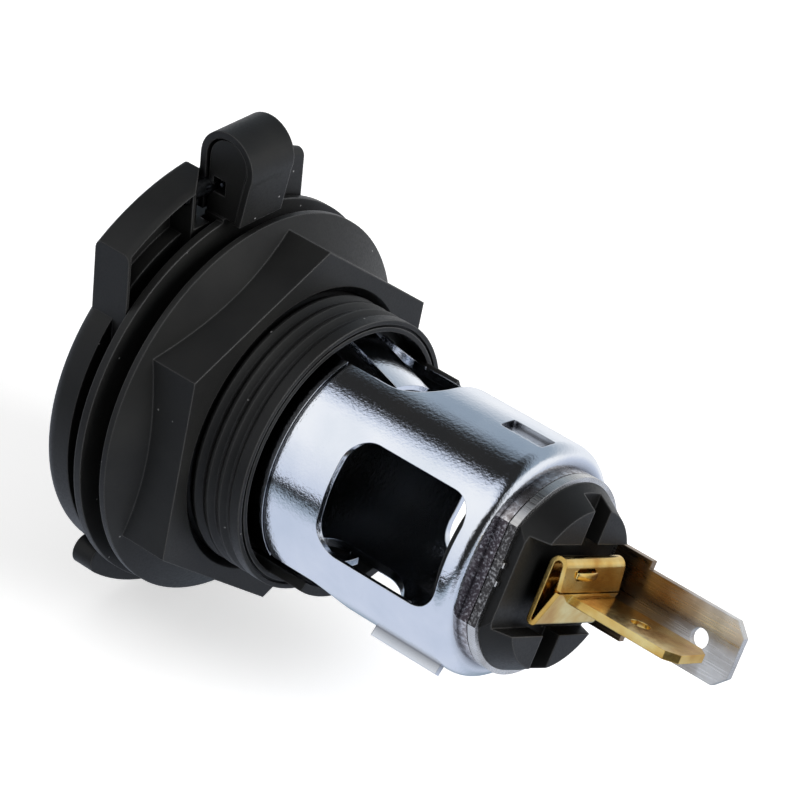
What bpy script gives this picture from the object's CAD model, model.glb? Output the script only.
import math

import bmesh
import bpy
from mathutils import Matrix, Vector


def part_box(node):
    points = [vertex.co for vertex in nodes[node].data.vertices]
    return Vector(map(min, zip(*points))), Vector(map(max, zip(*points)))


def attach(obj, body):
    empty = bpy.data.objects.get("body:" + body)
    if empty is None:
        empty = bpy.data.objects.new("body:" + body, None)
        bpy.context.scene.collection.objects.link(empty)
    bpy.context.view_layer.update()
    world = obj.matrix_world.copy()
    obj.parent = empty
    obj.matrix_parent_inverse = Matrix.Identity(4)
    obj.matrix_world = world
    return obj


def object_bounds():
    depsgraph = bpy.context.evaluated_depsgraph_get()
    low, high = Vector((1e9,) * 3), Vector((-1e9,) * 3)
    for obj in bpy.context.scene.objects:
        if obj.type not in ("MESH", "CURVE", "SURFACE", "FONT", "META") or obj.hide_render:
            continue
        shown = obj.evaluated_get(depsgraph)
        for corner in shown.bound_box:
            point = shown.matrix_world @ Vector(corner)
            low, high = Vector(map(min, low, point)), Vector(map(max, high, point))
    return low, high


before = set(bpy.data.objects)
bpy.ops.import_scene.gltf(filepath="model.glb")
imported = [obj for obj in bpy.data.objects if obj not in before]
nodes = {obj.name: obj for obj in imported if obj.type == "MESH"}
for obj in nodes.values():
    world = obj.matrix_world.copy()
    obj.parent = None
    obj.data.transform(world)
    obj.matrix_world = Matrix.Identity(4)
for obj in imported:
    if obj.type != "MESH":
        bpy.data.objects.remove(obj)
cad_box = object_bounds()
MM = 0.001

# The shell and its terminals are turned by this much from the cap's hinge
shell_turn = math.radians(25.5)
across_blade = Vector((-math.sin(shell_turn), 0, math.cos(shell_turn)))
from_window = Vector((-math.cos(shell_turn), 0, -math.sin(shell_turn)))

# A Mix node's colour sockets, by number because its hidden sockets have the same names
FACTOR, COLOUR_A, COLOUR_B, MIXED = 0, 6, 7, 2
# Rays that look for an edge, and for what shuts a gap in
EDGE_SAMPLES, SHADE_SAMPLES = 6, 8


# Tools for the finishes

def linear(code):
    """An sRGB hex colour as the linear RGBA that a shader takes."""
    parts = [int(code[i:i + 2], 16) / 255 for i in (1, 3, 5)]
    return [c / 12.92 if c <= 0.04045 else ((c + 0.055) / 1.055) ** 2.4 for c in parts] + [1]


def add(tree, kind, settings=None, links=None, out=0, stops=()):
    """Adds a node with its settings, links and colour stops, and returns one of its outputs.

    A setting goes to the property of that name, or else to the input of that name or number."""
    node = tree.nodes.new(kind)
    for key, value in (settings or {}).items():
        if isinstance(key, str) and hasattr(node, key):
            setattr(node, key, value)
        else:
            node.inputs[key].default_value = value
    for key, source in (links or {}).items():
        tree.links.new(source, node.inputs[key])
    if stops:
        band = node.color_ramp.elements
        while len(band) < len(stops):
            band.new(0.5)
        for element, (place, code) in zip(band, stops):
            element.position = place
            element.color = linear(code)
    return node.outputs[out]


def begin(name, metallic):
    """A material with its node tree, its Principled shader and its object coordinates."""
    material = bpy.data.materials.new(name)
    material.use_nodes = True
    tree = material.node_tree
    shader = tree.nodes["Principled BSDF"]
    shader.inputs["Metallic"].default_value = metallic
    where = add(tree, "ShaderNodeTexCoord", out="Object")
    return material, tree, shader, where


def feed(tree, shader, sources):
    """Links each source to the shader's input of that name."""
    for name, source in sources.items():
        tree.links.new(source, shader.inputs[name])


def openness(tree, reach, shut, clear):
    """0 in gaps, steps and corners, and 1 where the surface stands open for that reach."""
    sky = add(tree, "ShaderNodeAmbientOcclusion", {"samples": SHADE_SAMPLES, "Distance": reach}, out="AO")
    return add(tree, "ShaderNodeMapRange", {"From Min": shut, "From Max": clear}, {"Value": sky})


def drawn_lines(tree, where, width, length):
    """Fine lines along the socket's axis, as drawing and rolling leave them."""
    scale = (1 / width, 1 / length, 1 / width)
    stretched = add(tree, "ShaderNodeMapping", {"Scale": scale}, {"Vector": where})
    return add(tree, "ShaderNodeTexNoise", {"Scale": 1.0, "Detail": 2.0}, {"Vector": stretched})


# Finishes

def moulded_black(name, dark, light, rough):
    """Glass-filled plastic moulded in a spark-eroded tool.

    It gives the eye a satin near-black with a fine even grain, paler on worn edges and black in
    gaps and thread roots, with a little dust."""
    material, tree, shader, where = begin(name, metallic=0.0)
    shader.inputs["IOR"].default_value = 1.53
    shader.inputs["Specular IOR Level"].default_value = 0.2
    edge_radius = 0.24 * MM
    cloud_size = 7 * MM
    # The tool's real grain is finer, and it is drawn this coarse to show
    grain_size = 0.22 * MM
    # A cell holds one speck at most, and the speck's radii are shares of its cell
    dust_cell = 2.2 * MM
    speck_rim, speck_core = 0.052, 0.03

    cloud = add(tree, "ShaderNodeTexNoise", {"Scale": 1 / cloud_size, "Detail": 3.0}, {"Vector": where})
    tone = add(tree, "ShaderNodeValToRGB", links={0: cloud}, stops=[(0.35, dark), (0.7, light)])
    grain = add(tree, "ShaderNodeTexNoise", {"Scale": 1 / grain_size, "Detail": 2.0}, {"Vector": where})
    dust = {"Scale": 1 / dust_cell, "Randomness": 1.0}
    distance = add(tree, "ShaderNodeTexVoronoi", dust, {"Vector": where}, "Distance")
    speck = add(tree, "ShaderNodeMapRange", {"From Min": speck_rim, "From Max": speck_core},
                {"Value": distance})

    # An edge is where the rounded normal leaves the flat one
    soft = add(tree, "ShaderNodeBevel", {"samples": EDGE_SAMPLES, "Radius": edge_radius})
    flat = add(tree, "ShaderNodeNewGeometry", out="Normal")
    same = add(tree, "ShaderNodeVectorMath", {"operation": "DOT_PRODUCT"}, {0: soft, 1: flat}, "Value")
    edge = add(tree, "ShaderNodeMapRange", {"From Min": 1.0, "From Max": 0.65}, {"Value": same})
    open_air = openness(tree, reach=2.5 * MM, shut=0.25, clear=0.8)
    worn = add(tree, "ShaderNodeMath", {"operation": "MULTIPLY"}, {0: edge, 1: open_air})

    tone = add(tree, "ShaderNodeMix", {"data_type": "RGBA", COLOUR_A: linear("#070707")},
               {FACTOR: open_air, COLOUR_B: tone}, MIXED)
    for share, code in ((worn, "#606060"), (speck, "#8b8b8c")):
        tone = add(tree, "ShaderNodeMix", {"data_type": "RGBA", COLOUR_B: linear(code)},
                   {FACTOR: share, COLOUR_A: tone}, MIXED)
    sheen = {"From Min": 0.3, "From Max": 0.7, "To Min": rough - 0.06, "To Max": rough + 0.08}
    roughness = add(tree, "ShaderNodeMapRange", sheen, {"Value": grain})
    normal = add(tree, "ShaderNodeBump", {"Strength": 0.35, "Distance": 0.012 * MM},
                 {"Height": grain, "Normal": soft})
    feed(tree, shader, {"Base Color": tone, "Roughness": roughness, "Normal": normal})
    return material


def bright_zinc():
    """Bright zinc plate on drawn steel.

    It gives the eye a bluish mirror that wavers a little, whose reflections break up in fine
    pits at their edges."""
    material, tree, shader, where = begin("bright_zinc_plate", metallic=1.0)
    edge_radius = 0.12 * MM
    stain_size = 5 * MM
    wave_size = 6 * MM
    # Real pits and drawing lines are finer, and they are drawn this coarse to show
    pit_size = 0.32 * MM
    line_width, line_length = 0.3 * MM, 9 * MM

    stain = add(tree, "ShaderNodeTexNoise", {"Scale": 1 / stain_size, "Detail": 4.0}, {"Vector": where})
    tone = add(tree, "ShaderNodeValToRGB", links={0: stain},
               stops=[(0.3, "#e6ebf2"), (0.55, "#eff2f8"), (0.75, "#f6f8fb")])
    open_air = openness(tree, reach=1.6 * MM, shut=0.35, clear=0.95)
    tone = add(tree, "ShaderNodeMix", {"data_type": "RGBA", COLOUR_A: linear("#2e2f36")},
               {FACTOR: open_air, COLOUR_B: tone}, MIXED)

    pitting = {"Scale": 1 / pit_size, "Detail": 3.0, "Roughness": 0.6}
    pits = add(tree, "ShaderNodeTexNoise", pitting, {"Vector": where})
    waves = add(tree, "ShaderNodeTexNoise", {"Scale": 1 / wave_size, "Detail": 0.0}, {"Vector": where})
    lines = drawn_lines(tree, where, line_width, line_length)
    normal = add(tree, "ShaderNodeBevel", {"samples": EDGE_SAMPLES, "Radius": edge_radius})
    for height, strength, depth in ((waves, 0.2, 0.05), (lines, 0.4, 0.008), (pits, 0.8, 0.026)):
        normal = add(tree, "ShaderNodeBump", {"Strength": strength, "Distance": depth * MM},
                     {"Height": height, "Normal": normal})
    gloss = {"From Min": 0.35, "From Max": 0.7, "To Min": 0.05, "To Max": 0.12}
    roughness = add(tree, "ShaderNodeMapRange", gloss, {"Value": pits})
    feed(tree, shader, {"Base Color": tone, "Roughness": roughness, "Normal": normal})
    return material


def sheared(tree, where):
    """The dark flecks of the torn flat on both plates, where it is 0.3 to 1, and 0 elsewhere."""
    fleck_size = 0.25 * MM
    # Just behind the earth plate, so that the blade is left out
    plates_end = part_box("ground_terminal")[0].y + 1.1 * MM
    facing = add(tree, "ShaderNodeNewGeometry", out="Normal")
    turned = add(tree, "ShaderNodeVectorMath", {"operation": "DOT_PRODUCT", 1: -from_window},
                 {0: facing}, "Value")
    side = add(tree, "ShaderNodeMapRange", {"From Min": 0.96, "From Max": 0.99}, {"Value": turned})
    along = add(tree, "ShaderNodeSeparateXYZ", links={0: where}, out="Y")
    plates = add(tree, "ShaderNodeMath", {"operation": "LESS_THAN", 1: plates_end}, {0: along})
    cut = add(tree, "ShaderNodeMath", {"operation": "MULTIPLY"}, {0: side, 1: plates})
    fleck = add(tree, "ShaderNodeTexNoise", {"Scale": 1 / fleck_size, "Detail": 3.0}, {"Vector": where})
    torn = add(tree, "ShaderNodeMapRange", {"From Min": 0.75, "From Max": 0.5, "To Min": 0.3},
               {"Value": fleck})
    return add(tree, "ShaderNodeMath", {"operation": "MULTIPLY"}, {0: cut, 1: torn})


def passivated_zinc():
    """Zinc plate with a thin passivation, punched from sheet.

    It gives the eye a satin grey speckled brown where the film is thick, and a dark torn flat."""
    material, tree, shader, where = begin("passivated_zinc_plate", metallic=1.0)
    film_size = 0.5 * MM
    edge_radius = 0.1 * MM
    clouding = {"Scale": 1 / film_size, "Detail": 5.0, "Roughness": 0.7}
    film = add(tree, "ShaderNodeTexNoise", clouding, {"Vector": where})
    tone = add(tree, "ShaderNodeValToRGB", links={0: film},
               stops=[(0.36, "#8d8583"), (0.5, "#c0bab9"), (0.62, "#e6e3e3")])
    tone = add(tree, "ShaderNodeMix", {"data_type": "RGBA", COLOUR_B: linear("#51494c")},
               {FACTOR: sheared(tree, where), COLOUR_A: tone}, MIXED)
    soft = add(tree, "ShaderNodeBevel", {"samples": EDGE_SAMPLES, "Radius": edge_radius})
    normal = add(tree, "ShaderNodeBump", {"Strength": 0.5, "Distance": 0.015 * MM},
                 {"Height": film, "Normal": soft})
    gloss = {"From Min": 0.35, "From Max": 0.65, "To Min": 0.34, "To Max": 0.2}
    roughness = add(tree, "ShaderNodeMapRange", gloss, {"Value": film})
    feed(tree, shader, {"Base Color": tone, "Roughness": roughness, "Normal": normal})
    return material


def tin_plate():
    """Brass blade stock with a thin coat of tin, rolled.

    It gives the eye a soft grey metal with lines along it, brown towards the root where the coat
    is thin, and a dark torn flat on its plate."""
    material, tree, shader, where = begin("tin_plated_strip", metallic=1.0)
    low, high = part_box("ground_terminal")
    blade_root = low.y + 2.2 * MM
    brown_until, grey_from = high.y - 8.4 * MM, high.y - 2.4 * MM
    # The change from brown to grey wanders by this much along the blade
    wander = 5 * MM
    wear_size = 3 * MM
    edge_radius = 0.1 * MM
    # Real rolling lines are finer, and they are drawn this coarse to show
    line_width, line_length = 0.12 * MM, 4 * MM

    wear = add(tree, "ShaderNodeTexNoise", {"Scale": 1 / wear_size, "Detail": 5.0}, {"Vector": where})
    tone = add(tree, "ShaderNodeValToRGB", links={0: wear},
               stops=[(0.35, "#c3bfba"), (0.6, "#dedcd9"), (0.8, "#d2c8b6")])
    along = add(tree, "ShaderNodeSeparateXYZ", links={0: where}, out="Y")
    uneven = add(tree, "ShaderNodeMath", {"operation": "MULTIPLY_ADD", 1: wander, 2: -wander / 2},
                 {0: wear})
    place = add(tree, "ShaderNodeMath", {"operation": "ADD"}, {0: along, 1: uneven})
    thin = add(tree, "ShaderNodeMapRange", {"From Min": grey_from, "From Max": brown_until},
               {"Value": place})
    blade = add(tree, "ShaderNodeMath", {"operation": "GREATER_THAN", 1: blade_root}, {0: along})
    brown = add(tree, "ShaderNodeMath", {"operation": "MULTIPLY"}, {0: thin, 1: blade})
    for share, code in ((brown, "#8f7a62"), (sheared(tree, where), "#4a4746")):
        tone = add(tree, "ShaderNodeMix", {"data_type": "RGBA", COLOUR_B: linear(code)},
                   {FACTOR: share, COLOUR_A: tone}, MIXED)

    lines = drawn_lines(tree, where, line_width, line_length)
    soft = add(tree, "ShaderNodeBevel", {"samples": EDGE_SAMPLES, "Radius": edge_radius})
    normal = add(tree, "ShaderNodeBump", {"Strength": 0.25, "Distance": 0.006 * MM},
                 {"Height": lines, "Normal": soft})
    gloss = {"From Min": 0.3, "From Max": 0.7, "To Min": 0.22, "To Max": 0.38}
    roughness = add(tree, "ShaderNodeMapRange", gloss, {"Value": lines})
    feed(tree, shader, {"Base Color": tone, "Roughness": roughness, "Normal": normal})
    return material


def rolled_brass():
    """Bright brass strip, rolled and then formed.

    It gives the eye a warm gold, browner where it has tarnished, with faint marks of the tool."""
    material, tree, shader, where = begin("rolled_brass_strip", metallic=1.0)
    tarnish_size = 3 * MM
    mark_size = 0.6 * MM
    edge_radius = 0.12 * MM
    tarnish = add(tree, "ShaderNodeTexNoise", {"Scale": 1 / tarnish_size, "Detail": 2.0},
                  {"Vector": where})
    tone = add(tree, "ShaderNodeValToRGB", links={0: tarnish},
               stops=[(0.3, "#cb9843"), (0.5, "#e4bd6a"), (0.68, "#f2da94")])
    marks = add(tree, "ShaderNodeTexNoise", {"Scale": 1 / mark_size, "Detail": 3.0}, {"Vector": where})
    soft = add(tree, "ShaderNodeBevel", {"samples": EDGE_SAMPLES, "Radius": edge_radius})
    normal = add(tree, "ShaderNodeBump", {"Strength": 0.3, "Distance": 0.012 * MM},
                 {"Height": marks, "Normal": soft})
    gloss = {"From Min": 0.3, "From Max": 0.7, "To Min": 0.12, "To Max": 0.24}
    roughness = add(tree, "ShaderNodeMapRange", gloss, {"Value": marks})
    feed(tree, shader, {"Base Color": tone, "Roughness": roughness, "Normal": normal})
    return material


def drawn_steel():
    """Drawn steel wire, pin and spring sheet, which give the eye a satin mid grey with small marks."""
    material, tree, shader, where = begin("drawn_steel_wire", metallic=1.0)
    mark_size = 0.4 * MM
    marks = add(tree, "ShaderNodeTexNoise", {"Scale": 1 / mark_size, "Detail": 3.0}, {"Vector": where})
    tone = add(tree, "ShaderNodeValToRGB", links={0: marks}, stops=[(0.3, "#7e8084"), (0.7, "#a3a5a8")])
    roughness = add(tree, "ShaderNodeMapRange", {"To Min": 0.22, "To Max": 0.4}, {"Value": marks})
    feed(tree, shader, {"Base Color": tone, "Roughness": roughness})
    return material


nylon = moulded_black("moulded_black_nylon", "#1e1e1e", "#262625", 0.42)
phenolic = moulded_black("moulded_black_phenolic", "#171717", "#1e1e1d", 0.4)
zinc = bright_zinc()
filmed_zinc = passivated_zinc()
tin = tin_plate()
brass = rolled_brass()
steel = drawn_steel()

finishes = {
    "housing": nylon, "lid": nylon, "retaining_nut": nylon,
    "socket_shell": zinc, "end_plate": filmed_zinc, "ground_terminal": tin,
    "positive_terminal": brass, "rivet": brass,
    "inner_insulator": phenolic, "rear_insulator": phenolic,
    "centre_contact": steel, "hinge_pin": steel, "lid_spring": steel,
}
for name, finish in finishes.items():
    nodes[name].data.materials.clear()
    nodes[name].data.materials.append(finish)


# Detail that is too thin for the solids

def lanced_tongue():
    """The strip lanced out of the receptacle's upper face, which bows up over its window."""
    roll_height = 2.15 * MM
    face_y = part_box("positive_terminal")[0].y + roll_height
    # The middle of the receptacle's window, across the blade and away from the shell's window
    middle_across, middle_away = 2.2 * MM, -1.1 * MM
    half_length, half_width, sheet = 1.72 * MM, 0.42 * MM, 0.2 * MM
    # The bow rises by this much in the middle, and its ends lie this deep in the face
    rise, sunk = 0.42 * MM, 0.12 * MM
    # Shares by which the bow drops towards its long sides, and the strip narrows at its ends
    crown, taper = 0.3, 0.35
    mesh = bpy.data.meshes.new("contact_tongue")
    strip = bmesh.new()
    bmesh.ops.create_grid(strip, x_segments=24, y_segments=8, size=1)
    for point in strip.verts:
        # Shares of the half length and the half width, from -1 to 1
        lengthways, sideways = point.co.x, point.co.y
        bow = rise * (1 - lengthways ** 2) * (1 - crown * sideways ** 2) - sunk
        across = middle_across + sideways * half_width * (1 - taper * lengthways ** 2)
        away = middle_away + lengthways * half_length
        point.co = across_blade * across + from_window * away + Vector((0, face_y + bow, 0))
    bmesh.ops.recalc_face_normals(strip, faces=strip.faces)
    bmesh.ops.solidify(strip, geom=strip.faces[:], thickness=sheet)
    bmesh.ops.recalc_face_normals(strip, faces=strip.faces)
    strip.to_mesh(mesh)
    strip.free()
    for face in mesh.polygons:
        face.use_smooth = True
    mesh.materials.append(brass)
    tongue = bpy.data.objects.new("contact_tongue", mesh)
    bpy.context.scene.collection.objects.link(tongue)
    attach(tongue, "body")


lanced_tongue()


# Studio

def studio_floor():
    """White table. The lens sees it near white with the object's soft shadow, and metal sees through it."""
    half_side = 1.5
    gap_below = 0.4 * MM
    mesh = bpy.data.meshes.new("floor")
    table = bmesh.new()
    bmesh.ops.create_grid(table, x_segments=1, y_segments=1, size=half_side)
    bmesh.ops.translate(table, verts=table.verts, vec=(0, 0, cad_box[0][2] - gap_below))
    table.to_mesh(mesh)
    table.free()
    floor = bpy.data.objects.new("floor", mesh)
    bpy.context.scene.collection.objects.link(floor)
    material = bpy.data.materials.new("white_table")
    material.use_nodes = True
    tree = material.node_tree
    tree.nodes.remove(tree.nodes["Principled BSDF"])
    path = add(tree, "ShaderNodeLightPath").node
    matt = add(tree, "ShaderNodeBsdfDiffuse", {"Color": linear("#f4f4f4")})
    glow = add(tree, "ShaderNodeEmission", {"Color": (1, 1, 1, 1), "Strength": 0.6})
    lit = add(tree, "ShaderNodeAddShader", links={0: matt, 1: glow})
    clear = add(tree, "ShaderNodeBsdfTransparent")
    seen = add(tree, "ShaderNodeMixShader", links={0: path.outputs["Is Camera Ray"], 1: matt, 2: lit})
    both = add(tree, "ShaderNodeMixShader", links={0: path.outputs["Is Glossy Ray"], 1: seen, 2: clear})
    tree.links.new(both, tree.nodes["Material Output"].inputs["Surface"])
    mesh.materials.append(material)


def studio_world():
    """White to the lens, and a soft even fill. Metal sees a room of walls in four plain tones round the
    socket's axis: a dark gap overhead, a narrow one at its side, and soft patches past the terminals."""
    white, cool, dim, dark = "#f6f8fb", "#d0d8e8", "#98a6b4", "#2b2b2b"
    # The walls' tones by the turn round the socket's axis, in degrees from overhead
    walls = [
        (-180, cool), (-164, cool), (-150, dim), (-136, dim), (-118, white), (-94, white),
        (-60, dim), (-44, dim), (-28, dark), (-4, dark), (3, cool), (14, white), (50, white),
        (93, cool), (96, dark), (102, dark), (109, dim), (122, cool), (180, cool)]
    # Each patch's direction, the cosines of its rim and of its even middle, and its tone
    patches = [
        ((-0.57, 0.82, 0.05), 0.87, 0.95, white),
        ((-0.655, 0.514, -0.554), 0.82, 0.94, cool),
        ((0.147, 0.985, 0.085), 0.86, 0.95, dark)]
    world = bpy.data.worlds.new("studio")
    bpy.context.scene.world = world
    world.use_nodes = True
    tree = world.node_tree
    tree.nodes.clear()
    path = add(tree, "ShaderNodeLightPath").node
    way = add(tree, "ShaderNodeTexCoord", out="Generated")
    split = add(tree, "ShaderNodeSeparateXYZ", links={0: way}).node
    turn = add(tree, "ShaderNodeMath", {"operation": "ARCTAN2"},
               {0: split.outputs["X"], 1: split.outputs["Z"]})
    around = add(tree, "ShaderNodeMapRange", {"From Min": -math.pi, "From Max": math.pi}, {"Value": turn})
    room = add(tree, "ShaderNodeValToRGB", links={0: around},
               stops=[((degrees + 180) / 360, code) for degrees, code in walls])
    for aim, rim, even, code in patches:
        near = add(tree, "ShaderNodeVectorMath", {"operation": "DOT_PRODUCT", 1: aim}, {0: way}, "Value")
        share = add(tree, "ShaderNodeMapRange", {"From Min": rim, "From Max": even}, {"Value": near})
        room = add(tree, "ShaderNodeMix", {"data_type": "RGBA", COLOUR_B: linear(code)},
                   {FACTOR: share, COLOUR_A: room}, MIXED)

    fill = add(tree, "ShaderNodeBackground", {"Color": (1, 1, 1, 1), "Strength": 0.2})
    paper = add(tree, "ShaderNodeBackground", {"Color": (1, 1, 1, 1), "Strength": 1.0})
    mirrored = add(tree, "ShaderNodeBackground", {"Strength": 1.0}, {"Color": room})
    plain = add(tree, "ShaderNodeMixShader", links={0: path.outputs["Is Camera Ray"], 1: fill, 2: paper})
    shiny = add(tree, "ShaderNodeMath", {"operation": "MAXIMUM"},
                {0: path.outputs["Is Glossy Ray"], 1: path.outputs["Is Transmission Ray"]})
    both = add(tree, "ShaderNodeMixShader", links={0: shiny, 1: plain, 2: mirrored})
    out = tree.nodes.new("ShaderNodeOutputWorld")
    tree.links.new(both, out.inputs["Surface"])


def soft_box(name, place, side, power):
    """A square area lamp that looks at the shell. Metal doesn't see it, because it has the room's tones."""
    shell_middle = Vector((0, 0.02, 0))
    data = bpy.data.lights.new(name, "AREA")
    data.size = side
    data.energy = power
    lamp = bpy.data.objects.new(name, data)
    bpy.context.scene.collection.objects.link(lamp)
    lamp.location = place
    lamp.rotation_mode = "QUATERNION"
    lamp.rotation_quaternion = (shell_middle - Vector(place)).to_track_quat("-Z", "Y")
    lamp.visible_glossy = False


def photo_camera():
    """The camera fitted to the photograph: its place in metres and the directions of its own axes."""
    place = (0.222776, 0.194550, 0.197536)
    right = (-0.66104, 0.74477, 0.09136)
    up = (-0.36571, -0.42610, 0.82747)
    back = (0.65520, 0.51357, 0.55403)
    data = bpy.data.cameras.new("photo_camera")
    data.lens = 173.47
    data.sensor_width = 36
    data.clip_start = 0.01
    data.clip_end = 20
    camera = bpy.data.objects.new("photo_camera", data)
    bpy.context.scene.collection.objects.link(camera)
    turn = Matrix((right, up, back)).transposed().to_4x4()
    camera.matrix_world = Matrix.Translation(place) @ turn
    bpy.context.scene.camera = camera


studio_floor()
studio_world()
soft_box("top_box", (0.05, 0.05, 0.5), side=0.5, power=0.5)
soft_box("left_box", (0.45, -0.35, 0.3), side=0.35, power=0.25)
soft_box("right_box", (-0.1, 0.55, 0.3), side=0.35, power=3.8)
photo_camera()
bpy.context.scene.view_settings.view_transform = "Standard"
